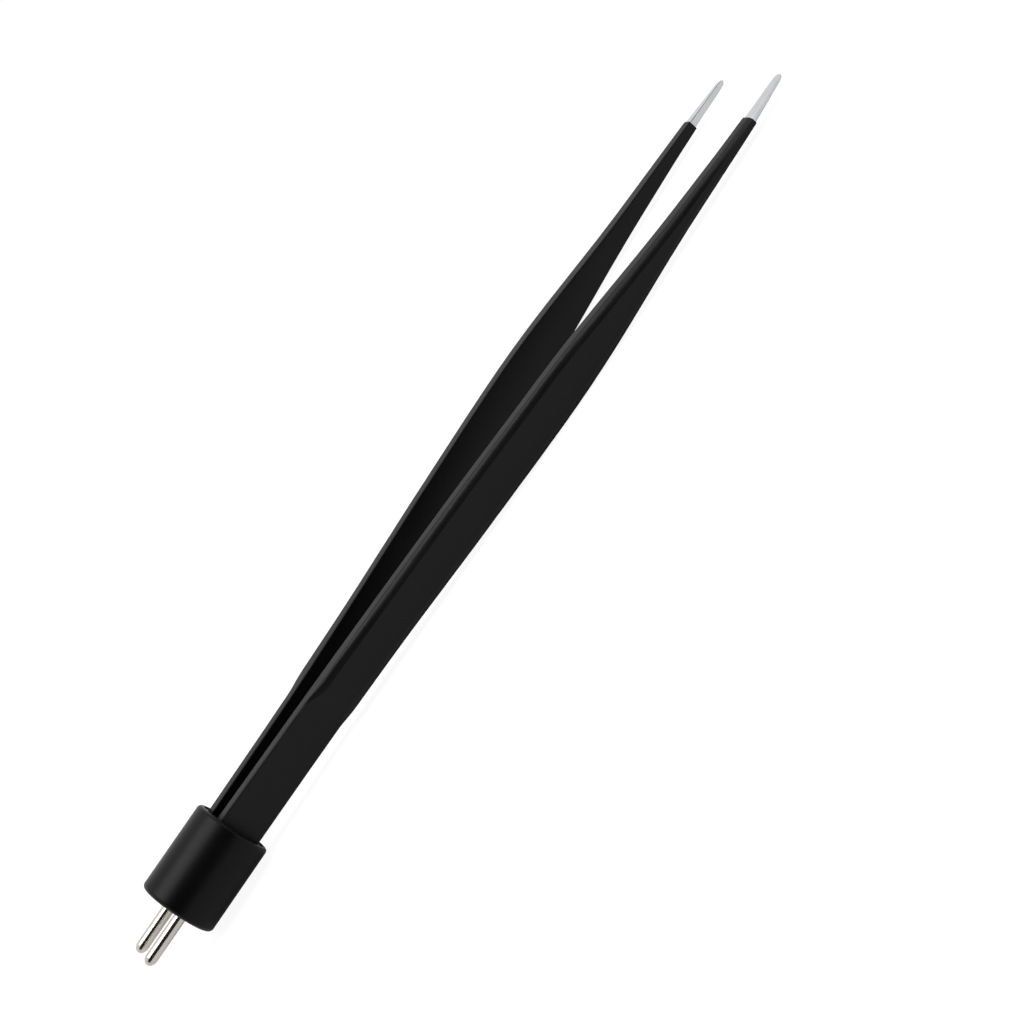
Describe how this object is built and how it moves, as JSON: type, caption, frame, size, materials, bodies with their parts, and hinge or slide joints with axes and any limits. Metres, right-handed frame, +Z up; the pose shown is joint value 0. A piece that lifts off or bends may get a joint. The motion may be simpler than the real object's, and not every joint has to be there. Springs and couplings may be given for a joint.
{
  "type": "bipolar forceps",
  "caption": "Bipolar forceps: slim sprung arms with a black insulating coat and bare steel tips, held in a round connector cap with contact pins.",
  "frame": {"origin": "middle of the footprint, on the surface that the instrument lies on", "axes": "+X towards the tips, +Y the way the left arm opens, +Z up; the cap's axis slopes down towards the tips by 1.81 degrees, as it lies at rest"},
  "size_m": [0.195, 0.0256, 0.0151],
  "materials": {
    "moulded_cap": "moulded, semi-matt black",
    "inner_insulator": "moulded, matt",
    "spacer_sheet": "cut from laminate sheet",
    "contact_pin": "turned and nickel plated",
    "blade_steel": "satin",
    "arm_coat": "powder coated, fine matt",
    "rivet_metal": "plain"
  },
  "bodies": {
    "connector": {"cap_shell": "moulded_cap", "pin_carrier": "inner_insulator", "arm_spacer": "spacer_sheet", "front_plug": "inner_insulator", "left_pin": "contact_pin", "right_pin": "contact_pin"},
    "left_arm": {"left_blade": "blade_steel", "left_coat": "arm_coat", "left_rivet": "rivet_metal"},
    "right_arm": {"right_blade": "blade_steel", "right_coat": "arm_coat", "right_rivet": "rivet_metal"}
  },
  "joints": [
    {"name": "left_arm_flex", "type": "hinge", "parent": "connector", "child": "left_arm", "pos_m": [-0.07494, 0.00265, 0.00744], "axis": [-0.0316, 0, -0.9995], "range_deg": [0, 3.29], "stiffness_Nm_per_rad": 2},
    {"name": "right_arm_flex", "type": "hinge", "parent": "connector", "child": "right_arm", "pos_m": [-0.07494, -0.00265, 0.00744], "axis": [0.0316, 0, 0.9995], "range_deg": [0, 3.29], "stiffness_Nm_per_rad": 2}
  ]
}
